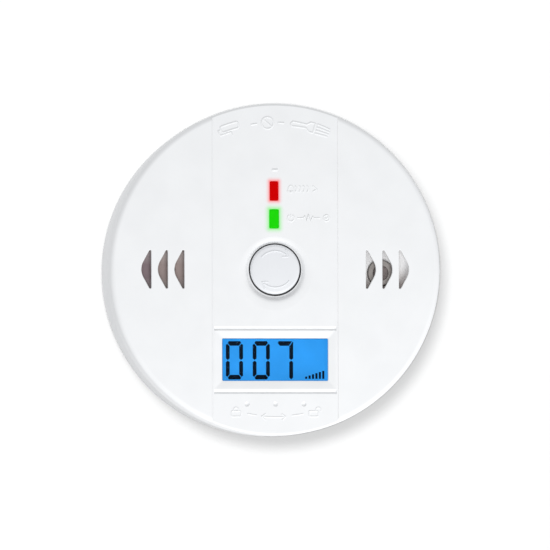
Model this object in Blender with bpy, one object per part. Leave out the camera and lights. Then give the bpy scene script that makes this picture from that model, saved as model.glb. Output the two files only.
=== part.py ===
"""Battery carbon monoxide detector on its twist-on wall bracket, as separate solids.

Frame: +Z up, the front looks along -Y, and the origin is the centre of the bracket's rear face,
on the wall.  Lengths are in millimetres until a mesh is made.  "depth" is the distance out from
the wall, so a depth d lies at y = -d.  Angles are counter-clockwise as seen from the front.

Bodies: the bracket stays on the wall; everything under the empty detector_body turns about the
Y axis to come off its hooks; everything under button_body slides along Y.
"""
import math

import bmesh
import bpy

MM = 0.001
GAP = 0.3                      # clearance between pieces that touch

# Casing
CASE_R = 52.0                  # outer radius of the front cover
DEPTH = 38.0                   # wall to front face
WALL = 2.0
RIM_R = 2.2                    # rounding of the front rim
SEAM = 25.0                    # depth of the seam between the two covers
REAR_R = 51.6                  # outer radius of the rear cover
BACK = 5.3                     # depth of the rear cover's back face
LIP = 2.9                      # how far the rear cover's lip reaches into the front cover
CASE_SIDES = 80
INNER_FACE = DEPTH - WALL

# Front face
BAND_W = 39.5                  # sunk strip that crosses the face from top to bottom
BAND_SINK = 0.35
BAND = DEPTH - BAND_SINK       # depth of the strip's surface
VENT_H = 12.1                  # D-shaped vents, three on each side
VENT_W = 2.95
VENT_X = (28.6, 33.8, 39.0)    # their straight edges
VENT_ARC_R = 5.2
VENT_SKIN = 1.2                # the wall is this thin behind the vents
WINDOW_Z = -28.25              # display window
WINDOW = (33.1, 13.3)
BEZEL = (37.9, 18.1)           # where its sloping frame meets the strip
BEZEL_SINK = 0.6
GROOVE_W = 0.9                 # shallow grooves above and below the frame
GROOVE_SINK = 0.5
GROOVE_Z = (-18.6, -38.4)
DIMPLE_R = 0.8
DIMPLE_SINK = 0.45
DIMPLE_PITCH = 8.95
DIMPLE_Z = -42.2
ALARM_LIGHT = (2.5, 5.9, 24.6)  # width, height and z of each light window
POWER_LIGHT = (2.8, 5.8, 15.85)
LIGHT_X = -0.3
LIGHT_CORNER = 0.5

# Test button and the switch behind it
BUTTON_R = 7.8
BUTTON_HOLE_R = 8.22
DISH_R = 10.2                  # the dish around the button
DISH_SINK = 1.0
BUTTON_FACE = DEPTH - 0.05
BUTTON_EDGE = 1.0
BUTTON_FLANGE_R = 9.2
BUTTON_STEM_R = 2.0
SWITCH = 6.0
PLUNGER_R = 1.7

# Bracket and bayonet
BRACKET_R = 50.0
PLATE = 2.0
BRACKET_RIM = 5.0
UNLOCK_TURN = 20.0
HOOK_ANGLES = (90.0, 210.0, 330.0)
HOOK_HALF = 5.0                # half of a hook's width, degrees
HOOK_PLAY = 1.5                # free angle at each end of its slot
HOOK_POST = (45.2, 46.8)       # inner and outer radius
HOOK_HEAD_R = 43.0
KEYHOLE_X = 33.0
KEYHOLE_R = 4.6
KEYHOLE_SLOT_W = 4.6
KEYHOLE_RISE = 9.0

# Circuit board and fasteners
BOARD = (24.6, 26.2)           # depths of its two faces
BOARD_R = 44.0
BOARD_TOP = BOARD[1] + GAP     # where parts on the board start
SCREW_ANGLES = (30.0, 150.0, 270.0)
SCREW_RING = 45.2
BOSS_R = 2.7
PILLAR_R = 3.2
PILLAR_END = 20.1
SCREW_SEAT = 14.5
POST_ANGLES = (90.0, 210.0, 330.0)
POST_RING = 38.0
POST_R = 2.5

# Battery bay, for three AA cells
CELL_R = 7.25
CELL_LENGTH = 50.5
CELL_PITCH = 15.2
CELL_DEPTH = 13.2
BAY = (46.2, 58.6)             # width and height inside
BAY_WALL = 1.5
BAY_FLOOR = 20.8
PLATE_T = 0.5                  # contact plates
PLATE_HALF = 5.5

# Display
HOLDER = (41.4, 21.4)
HOLDER_IN = (38.8, 18.8)
PANEL = (38.0, 18.0)
PANEL_DEPTHS = (32.0, 34.4)
LENS = (37.0, 17.0)

# Parts behind the vents
SENSOR = (33.4, -1.05)         # x and z of its axis
SENSOR_R = 4.1
SENSOR_TOP = 36.2
SHROUD_R = 9.8                 # cup that leads the air to the sensor
SHROUD_FLOOR = 35.6
SHROUD_RIM = 36.4
BUZZER_X = -32.4
BUZZER_R = 11.0
BUZZER_TOP = 36.2


def point(x, depth, z):
    """The place in metres of a point given in millimetres."""
    return (x * MM, -depth * MM, z * MM)


def polar(radius, degrees):
    turn = math.radians(degrees)
    return radius * math.cos(turn), radius * math.sin(turn)


# ---- outlines: lists of (x, z) -------------------------------------------------------------

def circle(radius, sides, x=0.0, z=0.0):
    steps = [polar(radius, 360.0 * k / sides) for k in range(sides)]
    return [(x + px, z + pz) for px, pz in steps]


def rectangle(width, height, z=0.0, x=0.0):
    w, h = width / 2, height / 2
    return [(x - w, z - h), (x + w, z - h), (x + w, z + h), (x - w, z + h)]


def rounded(width, height, radius, z=0.0, x=0.0, steps=3):
    """A rectangle with round corners, each corner an arc of that many steps."""
    corners = ((1, -1, -90), (1, 1, 0), (-1, 1, 90), (-1, -1, 180))
    outline = []
    for sx, sz, start in corners:
        cx = x + sx * (width / 2 - radius)
        cz = z + sz * (height / 2 - radius)
        for k in range(steps + 1):
            px, pz = polar(radius, start + 90.0 * k / steps)
            outline.append((cx + px, cz + pz))
    return outline


def sector(r_in, r_out, first, last, steps=6):
    """Part of a ring between two angles."""
    angles = [first + (last - first) * k / steps for k in range(steps + 1)]
    return [polar(r_out, a) for a in angles] + [polar(r_in, a) for a in reversed(angles)]


def vent(edge, side):
    """A D: a straight edge, and two straight flanks that run into a round bulge."""
    tip = VENT_H / 2 - 0.25
    centre = VENT_W - VENT_ARC_R
    reach = math.hypot(0.58 - centre, tip)
    flank = math.degrees(math.atan2(tip, 0.58 - centre) - math.acos(VENT_ARC_R / reach))
    arc = [polar(VENT_ARC_R, -flank + 2 * flank * k / 8) for k in range(9)]
    shape = [(0.0, -tip), (0.1, -tip - 0.2), (0.4, -tip - 0.2), (0.58, -tip)]
    shape += [(centre + px, pz) for px, pz in arc]
    shape += [(0.58, tip), (0.4, tip + 0.2), (0.1, tip + 0.2), (0.0, tip)]
    return [(side * (edge + px), pz) for px, pz in shape]


def keyhole(x):
    """A round hole for a screw head, and the narrow slot above it."""
    half = KEYHOLE_SLOT_W / 2
    open_angle = math.degrees(math.asin(half / KEYHOLE_R))
    start, end = 90 + open_angle, 450 - open_angle
    hole = [polar(KEYHOLE_R, start + (end - start) * k / 20) for k in range(21)]
    top = [polar(half, 180.0 * k / 8) for k in range(9)]
    outline = hole + [(px, KEYHOLE_RISE + pz) for px, pz in top]
    return [(x + px, pz - KEYHOLE_RISE / 2) for px, pz in outline]


def cross(arm, width):
    """The cross recess of a screw head."""
    w = width / 2
    quarter = [(arm, -w), (arm, w), (w, w)]
    outline = []
    for k in range(4):
        c, s = ((1, 0), (0, 1), (-1, 0), (0, -1))[k]
        outline += [(c * x - s * z, s * x + c * z) for x, z in quarter]
    return outline


# ---- shapes: (vertices, faces) -------------------------------------------------------------

def loft(loops):
    """A closed solid through loops of equal length, with a flat face on each end."""
    count = len(loops[0])
    verts = [point(*p) for loop in loops for p in loop]
    faces = []
    for k in range(len(loops) - 1):
        a, b = k * count, (k + 1) * count
        for i in range(count):
            j = (i + 1) % count
            faces.append((a + i, a + j, b + j, b + i))
    last = (len(loops) - 1) * count
    faces.append(tuple(reversed(range(count))))
    faces.append(tuple(range(last, last + count)))
    return verts, faces


def prism(outline, near, far):
    return loft([[(x, d, z) for x, z in outline] for d in (near, far)])


def stepped(stages):
    """Outlines of equal length at their own depths: (outline, depth) pairs."""
    return loft([[(x, d, z) for x, z in outline] for outline, d in stages])


def turned(profile, sides, x=0.0, z=0.0):
    """A solid turned about a line along Y: profile points are (radius, depth)."""
    return stepped([(circle(r, sides, x, z), d) for r, d in profile])


def swept(profile, first, last, steps):
    """A (radius, depth) cross-section carried round the Y axis from one angle to another."""
    loops = []
    for k in range(steps + 1):
        angle = first + (last - first) * k / steps
        loops.append([(polar(r, angle)[0], d, polar(r, angle)[1]) for r, d in profile])
    return loft(loops)


def block(x, depth, z):
    outline = [(x[0], z[0]), (x[1], z[0]), (x[1], z[1]), (x[0], z[1])]
    return prism(outline, depth[0], depth[1])


def arc_profile(radius, depth, size, steps):
    """A quarter round from the side (radius) to the front (depth), both outermost."""
    points = []
    for k in range(steps + 1):
        turn = math.radians(90.0 * k / steps)
        points.append((radius - size + size * math.cos(turn),
                       depth - size + size * math.sin(turn)))
    return points


# ---- objects -------------------------------------------------------------------------------

def clear_scene():
    for obj in list(bpy.data.objects):
        bpy.data.objects.remove(obj, do_unlink=True)


def material(name, colour, roughness, metallic=0.0, transmission=0.0):
    mat = bpy.data.materials.new(name)
    mat.use_nodes = True
    shader = mat.node_tree.nodes["Principled BSDF"]
    shader.inputs["Base Color"].default_value = (*colour, 1.0)
    shader.inputs["Roughness"].default_value = roughness
    shader.inputs["Metallic"].default_value = metallic
    shader.inputs["Transmission Weight"].default_value = transmission
    return mat


def mesh_of(name, shapes):
    """One mesh from several closed shapes, its faces pointing out."""
    mesh = bpy.data.meshes.new(name)
    bm = bmesh.new()
    for verts, faces in shapes:
        made = [bm.verts.new(v) for v in verts]
        for face in faces:
            bm.faces.new([made[i] for i in face])
    bmesh.ops.recalc_face_normals(bm, faces=bm.faces)
    bm.to_mesh(mesh)
    bm.free()
    return mesh


def place(name, data, mat, parent, at=(0.0, 0.0, 0.0)):
    obj = bpy.data.objects.new(name, data)
    bpy.context.scene.collection.objects.link(obj)
    obj.location = point(*at)
    obj.parent = parent
    if mat is not None:
        data.materials.clear()
        data.materials.append(mat)
    if isinstance(data, bpy.types.Mesh):
        data.shade_smooth()
        data.set_sharp_from_angle(angle=math.radians(35))
    return obj


def piece(name, shapes, mat, parent, at=(0.0, 0.0, 0.0)):
    return place(name, mesh_of(name, shapes), mat, parent, at)


def shape_tool(obj, shapes, operation):
    """Adds shapes to an object, or cuts them out of it, with a Boolean modifier."""
    number = len(obj.modifiers) + 1
    name = f"{obj.name}_tool_{number}"
    tool = place(name, mesh_of(name, shapes), None, obj.parent)
    tool.location = obj.location
    tool.hide_render = True
    tool.display_type = "WIRE"
    modifier = obj.modifiers.new(f"shape_{number}", "BOOLEAN")
    modifier.operation = operation
    modifier.solver = "EXACT"
    modifier.object = tool


def even_shading():
    """Keeps the flat faces of cut pieces flat in the shading."""
    for obj in bpy.data.objects:
        if any(modifier.type == "BOOLEAN" for modifier in obj.modifiers):
            obj.modifiers.new("even_shading", "WEIGHTED_NORMAL")


def add(obj, shapes):
    shape_tool(obj, shapes, "UNION")


def cut(obj, shapes):
    shape_tool(obj, shapes, "DIFFERENCE")


def wire(name, points, radius, mat, parent, at=(0.0, 0.0, 0.0)):
    """A round wire through (x, depth, z) points."""
    curve = bpy.data.curves.new(name, "CURVE")
    curve.dimensions = "3D"
    curve.bevel_depth = radius * MM
    curve.bevel_resolution = 1
    curve.use_fill_caps = True
    curve.render_resolution_u = 0
    spline = curve.splines.new("POLY")
    spline.points.add(len(points) - 1)
    for target, place_mm in zip(spline.points, points):
        target.co = (*point(*place_mm), 1.0)
    return place(name, curve, mat, parent, at)


def empty(name, parent=None):
    obj = bpy.data.objects.new(name, None)
    bpy.context.scene.collection.objects.link(obj)
    obj.parent = parent
    return obj


# ---- the bracket on the wall ---------------------------------------------------------------

def make_bracket(mats):
    rim_in = BRACKET_R - 1.6
    cup = [(BRACKET_R, 0.0), (BRACKET_R, BRACKET_RIM), (rim_in, BRACKET_RIM), (rim_in, PLATE)]
    bracket = piece("mounting_bracket", [turned(cup, CASE_SIDES)], mats["bracket"], None)
    post_in, post_out = HOOK_POST
    head_from = BACK + WALL + GAP
    head_to = head_from + 1.6
    hook = [(post_out, PLATE / 2), (post_out, head_to), (HOOK_HEAD_R, head_to),
            (HOOK_HEAD_R, head_from), (post_in, head_from), (post_in, PLATE / 2)]
    add(bracket, [swept(hook, angle - HOOK_HALF, angle + HOOK_HALF, 3) for angle in HOOK_ANGLES])
    holes = [prism(keyhole(side * KEYHOLE_X), -1.0, PLATE + 1.0) for side in (-1, 1)]
    holes += [prism(rounded(14.0, 4.6, 2.2, side * 37.0), -1.0, PLATE + 1.0) for side in (-1, 1)]
    cut(bracket, holes)


# ---- the casing ----------------------------------------------------------------------------

def make_rear_cover(mats, body):
    edge = SEAM - GAP
    lip_out = CASE_R - WALL - GAP
    lip_in = lip_out - 1.5
    inner = REAR_R - WALL
    floor = BACK + WALL
    cup = [(REAR_R - 1.2, BACK), (REAR_R, BACK + 1.2), (REAR_R, edge), (lip_out, edge),
           (lip_out, edge + LIP), (lip_in, edge + LIP), (lip_in, edge - 2.0), (inner, edge - 3.4),
           (inner, floor)]
    cover = piece("rear_cover", [turned(cup, CASE_SIDES)], mats["casing"], body)

    width, height = BAY
    outer = rectangle(width + 2 * BAY_WALL, height + 2 * BAY_WALL)
    added = [prism(outer, BACK + 1.0, BAY_FLOOR + 1.4)]
    bores = []
    for angle in SCREW_ANGLES:
        x, z = polar(SCREW_RING, angle)
        added.append(turned([(PILLAR_R, BACK + 1.0), (PILLAR_R, PILLAR_END)], 20, x, z))
        bores.append(turned([(2.6, BACK - 1.0), (2.6, SCREW_SEAT), (1.6, SCREW_SEAT),
                             (1.6, PILLAR_END + 1.0)], 16, x, z))
    add(cover, added)

    cell_rows = (-CELL_PITCH / 2, CELL_PITCH / 2)
    end = height / 2
    bores.append(prism(rectangle(width, height), BACK - 1.0, BAY_FLOOR))
    cut(cover, bores)
    ribs = [block((x - 0.7, x + 0.7), (BAY_FLOOR - 3.0, BAY_FLOOR + 0.5), (-20.0, 20.0))
            for x in cell_rows]
    add(cover, ribs)
    slots = []
    for row, side in ((-1, 1), (1, -1)):
        x = row * CELL_PITCH
        slots.append(block((x - 1.4, x + 1.4), (BAY_FLOOR - 0.6, BAY_FLOOR + 3.0),
                           sorted((side * (end - 1.2), side * (end + 0.2)))))
    post_in, post_out = HOOK_POST
    swing = HOOK_HALF + HOOK_PLAY
    for angle in HOOK_ANGLES:
        slots.append(prism(sector(post_in - 0.5, post_out + 0.5, angle - UNLOCK_TURN - swing,
                                  angle + swing, 10), BACK - 1.0, floor + 1.0))
    cut(cover, slots)
    mouths = [prism(sector(HOOK_HEAD_R - 0.6, post_in + 0.4, angle - UNLOCK_TURN - swing,
                           angle - UNLOCK_TURN + swing, 5), BACK - 1.0, floor + 1.0)
              for angle in HOOK_ANGLES]
    cut(cover, mouths)


def make_front_cover(mats, body):
    inner = CASE_R - WALL
    cup = [(inner, INNER_FACE), (inner, SEAM), (CASE_R, SEAM)]
    cup += arc_profile(CASE_R, DEPTH, RIM_R, 4)
    cover = piece("front_cover", [turned(cup, CASE_SIDES)], mats["casing"], body)

    bosses, pilots = [], []
    for angle in SCREW_ANGLES:
        x, z = polar(SCREW_RING, angle)
        bosses.append(turned([(BOSS_R, PILLAR_END + GAP), (BOSS_R, INNER_FACE + 0.5)], 20, x, z))
        pilots.append(turned([(1.5, PILLAR_END - 1.0), (1.5, 30.0)], 12, x, z))
    for angle in POST_ANGLES:
        x, z = polar(POST_RING, angle)
        bosses.append(turned([(POST_R, BOARD_TOP), (POST_R, INNER_FACE + 0.5)], 16, x, z))
        pilots.append(turned([(1.2, BOARD_TOP - 1.0), (1.2, 31.5)], 12, x, z))
    add(cover, bosses)
    pocket = (INNER_FACE - 1.0, DEPTH - VENT_SKIN)
    cut(cover, [prism(circle(radius + 0.6, 48, x, z), *pocket)
                for radius, x, z in ((SHROUD_R, *SENSOR), (BUZZER_R, BUZZER_X, 0.0))])

    reach = CASE_R + 2.0
    cut(cover, [block((-BAND_W / 2, BAND_W / 2), (BAND, DEPTH + 1.0), (-reach, reach))])

    through = (INNER_FACE - 1.0, DEPTH + 1.0)
    holes = [prism(vent(edge, side), *through) for edge in VENT_X for side in (-1, 1)]
    for width, height, z in (ALARM_LIGHT, POWER_LIGHT):
        holes.append(prism(rounded(width + 0.2, height + 0.2, LIGHT_CORNER, z, LIGHT_X),
                           *through))
    slope = DISH_SINK / (DISH_R - BUTTON_HOLE_R)
    above = 0.5
    holes.append(turned([(BUTTON_HOLE_R, INNER_FACE - 1.0), (BUTTON_HOLE_R, BAND - DISH_SINK),
                         (DISH_R + above / slope, BAND + above)], 48))
    bezel_low = BAND - BEZEL_SINK
    run_x = (BEZEL[0] - WINDOW[0]) / 2 / BEZEL_SINK
    run_z = (BEZEL[1] - WINDOW[1]) / 2 / BEZEL_SINK
    above = 0.1
    wide = (BEZEL[0] + 2 * above * run_x, BEZEL[1] + 2 * above * run_z)
    holes.append(stepped([(rounded(*WINDOW, 0.6, WINDOW_Z), INNER_FACE - 1.0),
                          (rounded(*WINDOW, 0.6, WINDOW_Z), bezel_low),
                          (rounded(*wide, 0.6, WINDOW_Z), BAND + above)]))
    for z in GROOVE_Z:
        holes.append(block((-BAND_W / 2 + 0.4, BAND_W / 2 - 0.4), (BAND - GROOVE_SINK, BAND + 1.0),
                           (z - GROOVE_W / 2, z + GROOVE_W / 2)))
    for k in (-1, 0, 1):
        holes.append(turned([(DIMPLE_R * 0.5, BAND - DIMPLE_SINK), (DIMPLE_R, BAND + 0.1),
                             (DIMPLE_R, BAND + 0.6)], 12, k * DIMPLE_PITCH, DIMPLE_Z))
    cut(cover, holes + pilots)


def make_screws(mats, body):
    head = [(2.3, SCREW_SEAT - 2.0), (2.3, SCREW_SEAT - GAP), (1.2, SCREW_SEAT - GAP),
            (1.2, 27.6), (0.4, 28.6)]
    case_mesh = mesh_of("case_screw", [turned(head, 16)])
    for number, angle in enumerate(SCREW_ANGLES, 1):
        x, z = polar(SCREW_RING, angle)
        screw = place(f"case_screw_{number}", case_mesh, mats["steel"], body, (x, 0.0, z))
        cut(screw, [prism(cross(1.3, 0.55), SCREW_SEAT - 3.0, SCREW_SEAT - 1.1)])
    seat = BOARD[0] - GAP
    head = [(1.9, seat - 1.5), (1.9, seat), (0.9, seat), (0.9, 29.6), (0.3, 30.2)]
    board_mesh = mesh_of("board_screw", [turned(head, 12)])
    for number, angle in enumerate(POST_ANGLES, 1):
        x, z = polar(POST_RING, angle)
        screw = place(f"board_screw_{number}", board_mesh, mats["steel"], body, (x, 0.0, z))
        cut(screw, [prism(cross(1.1, 0.45), seat - 2.5, seat - 0.9)])


# ---- batteries and their contacts ----------------------------------------------------------

def make_cells(mats, body):
    """Three cells in series: the outer two have their positive end up, the middle one down."""
    cell = [(CELL_R - 0.9, 0.0), (CELL_R, 0.6), (CELL_R, 48.7), (CELL_R - 0.6, 49.2), (2.75, 49.2),
            (2.75, CELL_LENGTH)]
    cell_mesh = mesh_of("cell", [turned(cell, 28)])
    tip = BAY[1] / 2 - 2 * GAP - PLATE_T
    foot = tip - CELL_LENGTH
    plate_face = BAY[1] / 2 - GAP - PLATE_T
    room = plate_face - GAP + foot - GAP
    turns, steps = 4, 8
    coil = []
    for k in range(turns * steps + 1):
        share = k / (turns * steps)
        x, z = polar(4.4 - 1.6 * share, 360.0 * k / steps)
        coil.append((x, 0.3 + (room - 0.6) * share, z))
    for number, up in enumerate((1, -1, 1), 1):
        x = (number - 2) * CELL_PITCH
        turn = (-up * math.pi / 2, 0.0, 0.0)
        cell = place(f"battery_cell_{number}", cell_mesh, mats["cell"], body,
                     (x, CELL_DEPTH, up * foot))
        cell.rotation_euler = turn
        spring = wire(f"battery_spring_{number}", coil, 0.3, mats["nickel"], body,
                      (x, CELL_DEPTH, -up * (plate_face - GAP)))
        spring.rotation_euler = turn


def make_contacts(mats, body):
    """Four sheet contacts: two end plates with tabs, and two that bridge a pair of cells."""
    near = BAY[1] / 2 - GAP - PLATE_T
    depths = (CELL_DEPTH - PLATE_HALF, CELL_DEPTH + PLATE_HALF)
    for name, first, last, side, tab in (("contact_positive", -1, -1, 1, True),
                                         ("contact_bridge_upper", 0, 1, 1, False),
                                         ("contact_bridge_lower", -1, 0, -1, False),
                                         ("contact_negative", 1, 1, -1, True)):
        z = sorted((side * near, side * (near + PLATE_T)))
        x = (first * CELL_PITCH - PLATE_HALF, last * CELL_PITCH + PLATE_HALF)
        plate = piece(name, [block(x, depths, z)], mats["nickel"], body)
        if tab:
            middle = first * CELL_PITCH
            add(plate, [block((middle - 1.0, middle + 1.0), (depths[1] - 1.0, 23.6),
                              (z[0] + 0.05, z[1] - 0.05))])


def make_leads(mats, body):
    """The red and black leads, from the end contacts to the back of the board."""
    start = BAY[1] / 2 - 2 * GAP - PLATE_T
    behind = 23.2
    route = [(0.0, behind, 0.0), (0.0, behind, -1.5), (0.5, behind, -3.0), (1.6, behind, -4.2),
             (3.0, behind, -4.9), (4.6, behind, -5.1), (6.0, behind + 0.1, -5.1),
             (6.9, behind + 0.5, -5.1), (7.2, BOARD[0] - GAP, -5.1)]
    for name, side in (("battery_lead_red", -1), ("battery_lead_black", 1)):
        points = [(side * (CELL_PITCH - x), d, -side * (start + z)) for x, d, z in route]
        wire(name, points, 0.5, mats[name], body)


# ---- circuit board and the parts on it -----------------------------------------------------

def make_board(mats, body):
    board = piece("circuit_board", [turned([(BOARD_R, BOARD[0]), (BOARD_R, BOARD[1])], 72)],
                  mats["board"], body)
    through = (BOARD[0] - 1.0, BOARD[1] + 1.0)
    holes = []
    for angle in SCREW_ANGLES:
        x, z = polar(SCREW_RING, angle)
        holes.append(prism(circle(BOSS_R + 0.7, 20, x, z), *through))
    for angle in POST_ANGLES:
        x, z = polar(POST_RING, angle)
        holes.append(prism(circle(1.3, 12, x, z), *through))
    cut(board, holes)


def make_board_parts(mats, body):
    top = BOARD_TOP
    piece("main_chip", [block((9.0, 19.0), (top, top + 1.6), (6.5, 16.5))], mats["chip"], body)
    piece("horn_driver_chip", [block((-16.5, -11.5), (top, top + 1.6), (9.0, 13.0))],
          mats["chip"], body)
    piece("crystal", [prism(rounded(10.2, 3.8, 1.8, 20.0, -21.0), top, top + 3.5)],
          mats["steel"], body)
    for name, x, z, radius, tall in (("capacitor_large", 16.0, 30.0, 4.0, 8.2),
                                     ("capacitor_small", 26.0, 21.0, 2.5, 6.5)):
        can = [(radius - 0.2, top), (radius, top + 0.4), (radius, top + 1.0),
               (radius - 0.35, top + 1.4), (radius, top + 1.8), (radius, top + tall - 0.4),
               (radius - 0.4, top + tall)]
        piece(name, [turned(can, 24, x, z)], mats["capacitor"], body)
    bobbin = [(3.9, top), (3.9, top + 1.0), (2.9, top + 1.0), (2.9, top + 6.6), (3.9, top + 6.6),
              (3.9, top + 7.6)]
    piece("horn_coil", [turned(bobbin, 24, -16.0, 30.0)], mats["ferrite"], body)


def make_sensor(mats, body):
    top = BOARD_TOP
    base = [(4.6, top), (4.6, top + 0.8), (3.3, top + 0.8), (3.3, top + 2.2)]
    piece("sensor_base", [turned(base, 32, *SENSOR)], mats["sensor_base"], body)
    wall = 0.4
    inner = SENSOR_R - wall
    lid = SENSOR_TOP - wall
    can = [(inner, top + 1.1), (SENSOR_R, top + 1.1)]
    can += arc_profile(SENSOR_R, SENSOR_TOP, 0.6, 3)
    cap = piece("sensor_can", [turned(can, 32, *SENSOR)], mats["can"], body)
    cut(cap, [turned([(inner, top), (inner, lid), (2.4, lid), (2.4, DEPTH)], 32, *SENSOR)])
    sleeve = SHROUD_R - 1.0
    shroud = [(SHROUD_R, top), (SHROUD_R, SHROUD_RIM), (sleeve, SHROUD_RIM),
              (sleeve, SHROUD_FLOOR)]
    cup = piece("sensor_shroud", [turned(shroud, 48, *SENSOR)], mats["shroud"], body)
    under = SHROUD_FLOOR - 1.0
    cut(cup, [turned([(sleeve, top - 1.0), (sleeve, under), (SENSOR_R + 0.4, under),
                      (SENSOR_R + 0.4, DEPTH)], 48, *SENSOR)])
    gauze = [(3.2, lid - GAP - 0.3), (3.2, lid - GAP)]
    piece("sensor_gauze", [turned(gauze, 24, *SENSOR)], mats["gauze"], body)


def make_buzzer(mats, body):
    top = BOARD_TOP
    wall = 1.2
    inner = BUZZER_R - wall
    lid = BUZZER_TOP - wall
    shell = [(inner, top), (BUZZER_R, top)]
    shell += arc_profile(BUZZER_R, BUZZER_TOP, 0.8, 2)
    housing = piece("buzzer_housing", [turned(shell, 40, BUZZER_X)], mats["buzzer"], body)
    cut(housing, [turned([(inner, top - 1.0), (inner, lid), (1.0, lid), (1.0, DEPTH)],
                         40, BUZZER_X)])
    piece("buzzer_base", [turned([(inner - GAP, top), (inner - GAP, top + 1.2)], 32, BUZZER_X)],
          mats["chip"], body)
    piece("buzzer_disc", [turned([(inner - GAP, 31.6), (inner - GAP, 32.0)], 32, BUZZER_X)],
          mats["brass"], body)


def make_lights(mats, body):
    top = BOARD_TOP
    for name, (width, height, z) in (("alarm", ALARM_LIGHT), ("power", POWER_LIGHT)):
        bulb = [(1.9, top), (1.9, top + 0.9), (1.5, top + 0.9), (1.5, top + 2.1),
                (1.3, top + 2.8), (0.8, top + 3.3), (0.3, top + 3.5)]
        piece(f"{name}_led", [turned(bulb, 16, LIGHT_X, z)], mats[f"{name}_led"], body)
        slim = rounded(width - 0.4, height - 0.4, LIGHT_CORNER - 0.2, z, LIGHT_X)
        wide = rounded(width + 1.6, height + 1.6, LIGHT_CORNER, z, LIGHT_X)
        pipe = [(slim, 30.4), (slim, 34.5), (wide, 34.5), (wide, INNER_FACE - GAP),
                (slim, INNER_FACE - GAP), (slim, BAND)]
        piece(f"{name}_light_pipe", [stepped(pipe)], mats[f"{name}_pipe"], body)


def make_display(mats, body):
    top = BOARD_TOP
    holder = piece("display_holder", [prism(rectangle(*HOLDER, WINDOW_Z), top, 33.8)],
                   mats["holder"], body)
    cut(holder, [prism(rectangle(*HOLDER_IN, WINDOW_Z), top - 1.0, 35.0)])
    piece("display_backlight", [prism(rectangle(36.0, 14.6, WINDOW_Z), 28.7, 31.7)],
          mats["backlight"], body)
    piece("display_panel", [prism(rectangle(*PANEL, WINDOW_Z), *PANEL_DEPTHS)],
          mats["display"], body)
    strip_z = WINDOW_Z - PANEL[1] / 2 + 0.8
    piece("display_contact_strip", [block((-17.0, 17.0), (top, PANEL_DEPTHS[0] - GAP),
                                          (strip_z - 0.5, strip_z + 0.5))],
          mats["rubber"], body)
    piece("display_lens", [prism(rounded(*LENS, 1.0, WINDOW_Z), 34.7, INNER_FACE - GAP)],
          mats["lens"], body)


# ---- test button ---------------------------------------------------------------------------

def make_button(mats, detector, body):
    flange = (INNER_FACE - GAP - 1.2, INNER_FACE - GAP)
    stem_end = 32.4
    under = 36.3
    cap = [(BUTTON_STEM_R, stem_end), (BUTTON_STEM_R, under), (6.2, under), (6.2, flange[0]),
           (BUTTON_FLANGE_R, flange[0]), (BUTTON_FLANGE_R, flange[1]), (BUTTON_R, flange[1])]
    cap += arc_profile(BUTTON_R, BUTTON_FACE, BUTTON_EDGE, 4)
    piece("test_button", [turned(cap, 48)], mats["button"], body)
    plunger = [(PLUNGER_R, 29.0), (PLUNGER_R, stem_end - GAP)]
    piece("switch_plunger", [turned(plunger, 20)], mats["plunger"], body)
    top = BOARD_TOP
    switch = piece("switch_housing", [prism(rectangle(SWITCH, SWITCH), top, top + 3.5)],
                   mats["chip"], detector)
    cut(switch, [turned([(PLUNGER_R + 0.4, 27.7), (PLUNGER_R + 0.4, top + 5.0)], 20)])


# ---- materials -----------------------------------------------------------------------------

def make_materials():
    white = (0.86, 0.87, 0.88)
    return {
        "casing": material("white_casing", white, 0.42),
        "bracket": material("white_bracket", (0.80, 0.81, 0.82), 0.5),
        "button": material("white_button", (0.82, 0.84, 0.87), 0.4),
        "steel": material("plated_steel", (0.62, 0.63, 0.65), 0.32, 1.0),
        "nickel": material("nickel_contact", (0.70, 0.69, 0.66), 0.28, 1.0),
        "cell": material("cell_sleeve", (0.10, 0.12, 0.13), 0.35),
        "battery_lead_red": material("red_lead", (0.62, 0.03, 0.02), 0.45),
        "battery_lead_black": material("black_lead", (0.02, 0.02, 0.02), 0.45),
        "board": material("green_board", (0.03, 0.17, 0.07), 0.4),
        "chip": material("black_package", (0.02, 0.02, 0.022), 0.5),
        "capacitor": material("capacitor_sleeve", (0.03, 0.03, 0.06), 0.35),
        "ferrite": material("ferrite", (0.06, 0.055, 0.05), 0.6),
        "sensor_base": material("sensor_header", (0.35, 0.34, 0.32), 0.5, 0.6),
        "shroud": material("shroud_plastic", (0.72, 0.72, 0.72), 0.5),
        "can": material("sensor_can_steel", (0.30, 0.28, 0.25), 0.35, 1.0),
        "gauze": material("steel_gauze", (0.16, 0.13, 0.13), 0.55, 1.0),
        "buzzer": material("buzzer_plastic", (0.16, 0.13, 0.12), 0.55),
        "brass": material("brass_disc", (0.72, 0.53, 0.25), 0.35, 1.0),
        "alarm_led": material("red_led", (0.75, 0.02, 0.02), 0.15, 0.0, 0.6),
        "power_led": material("green_led", (0.03, 0.65, 0.06), 0.15, 0.0, 0.6),
        "alarm_pipe": material("red_light_pipe", (0.58, 0.0, 0.0), 0.2),
        "power_pipe": material("green_light_pipe", (0.02, 0.66, 0.005), 0.2),
        "holder": material("display_holder_white", (0.75, 0.76, 0.76), 0.5),
        "backlight": material("light_guide", (0.20, 0.45, 0.85), 0.3),
        "display": material("display_glass", (0.035, 0.35, 0.92), 0.12),
        "rubber": material("contact_rubber", (0.08, 0.08, 0.09), 0.7),
        "lens": material("clear_lens", (0.95, 0.97, 1.0), 0.05, 0.0, 1.0),
        "plunger": material("switch_plunger_black", (0.03, 0.03, 0.03), 0.4),
    }


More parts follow.
